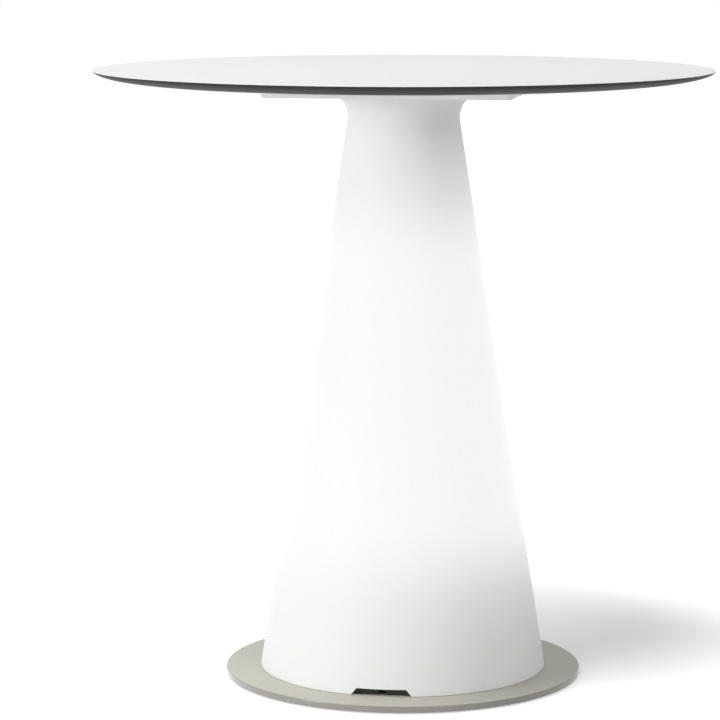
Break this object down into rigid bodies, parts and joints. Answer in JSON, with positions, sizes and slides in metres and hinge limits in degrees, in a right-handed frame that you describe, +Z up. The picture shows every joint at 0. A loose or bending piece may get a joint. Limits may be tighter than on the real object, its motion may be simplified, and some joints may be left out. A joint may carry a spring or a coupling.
{
  "type": "illuminated round cafe table",
  "caption": "Round cafe table with a thin bevelled top on a hollow translucent cone that is lit from inside and stands on a flat round steel plate with levelling glides.",
  "frame": {"origin": "on the floor under the middle of the round top, where the axis of the cone meets the floor", "axes": "+Z up along the axis of the cone; -Y towards the side with the cable notch; +X to the right when the notch faces the viewer"},
  "size_m": [0.755, 0.755, 0.75],
  "materials": {
    "core_black": "solid black laminate core, satin machined edge",
    "laminate_white": "fine matt white laminate sheet",
    "cone_plastic": "translucent white moulded plastic, soft matt, lit from inside",
    "plate_coating": "warm grey satin powder coat on steel",
    "grommet_rubber": "black rubber",
    "glide_nylon": "black nylon",
    "screw_steel": "zinc plated steel",
    "brass": "turned brass",
    "box_plastic": "dark grey moulded plastic",
    "block_plastic": "off-white moulded plastic",
    "stem_enamel": "white enamel on steel",
    "lead_sheath": "white flexible sheath",
    "holder_ceramic": "glazed ceramic",
    "heatsink_white": "white coated aluminium",
    "led_board": "white board with emitters",
    "lamp_opal": "opal plastic diffuser"
  },
  "bodies": {
    "table": {"tabletop_core": "core_black", "tabletop_face": "laminate_white", "tabletop_backing": "laminate_white", "top_insert_1": "brass", "top_insert_2": "brass", "top_insert_3": "brass", "top_insert_4": "brass", "top_screw_1": "screw_steel", "top_screw_2": "screw_steel", "top_screw_3": "screw_steel", "top_screw_4": "screw_steel", "cone_body": "cone_plastic", "foot_insert_1": "brass", "foot_insert_2": "brass", "foot_insert_3": "brass", "foot_insert_4": "brass", "cable_grommet": "grommet_rubber", "base_plate": "plate_coating", "base_screw_1": "screw_steel", "base_screw_2": "screw_steel", "base_screw_3": "screw_steel", "base_screw_4": "screw_steel", "terminal_box": "box_plastic", "terminal_lid": "box_plastic", "terminal_block": "block_plastic", "box_screw_1": "screw_steel", "box_screw_2": "screw_steel", "lid_screw_1": "screw_steel", "lid_screw_2": "screw_steel", "cable_gland": "glide_nylon", "gland_cap": "glide_nylon", "gland_nut": "glide_nylon", "stem_base": "stem_enamel", "stem_base_screw_1": "screw_steel", "stem_base_screw_2": "screw_steel", "stem_base_screw_3": "screw_steel", "stem_nut_upper": "screw_steel", "stem_nut_lower": "screw_steel", "lamp_stem": "stem_enamel", "lamp_lead": "lead_sheath", "lampholder": "holder_ceramic", "lamp_cap": "brass", "lamp_heatsink": "heatsink_white", "led_board": "led_board", "lamp_globe": "lamp_opal"},
    "glide_1": {"glide_stud_1": "screw_steel", "glide_pad_1": "glide_nylon"},
    "glide_2": {"glide_stud_2": "screw_steel", "glide_pad_2": "glide_nylon"},
    "glide_3": {"glide_stud_3": "screw_steel", "glide_pad_3": "glide_nylon"},
    "glide_4": {"glide_stud_4": "screw_steel", "glide_pad_4": "glide_nylon"}
  },
  "joints": [
    {"name": "glide_1_height", "type": "slide", "parent": "table", "child": "glide_1", "axis": [0, 0, -1], "range_m": [0, 0.003]},
    {"name": "glide_2_height", "type": "slide", "parent": "table", "child": "glide_2", "axis": [0, 0, -1], "range_m": [0, 0.003]},
    {"name": "glide_3_height", "type": "slide", "parent": "table", "child": "glide_3", "axis": [0, 0, -1], "range_m": [0, 0.003]},
    {"name": "glide_4_height", "type": "slide", "parent": "table", "child": "glide_4", "axis": [0, 0, -1], "range_m": [0, 0.003]}
  ]
}
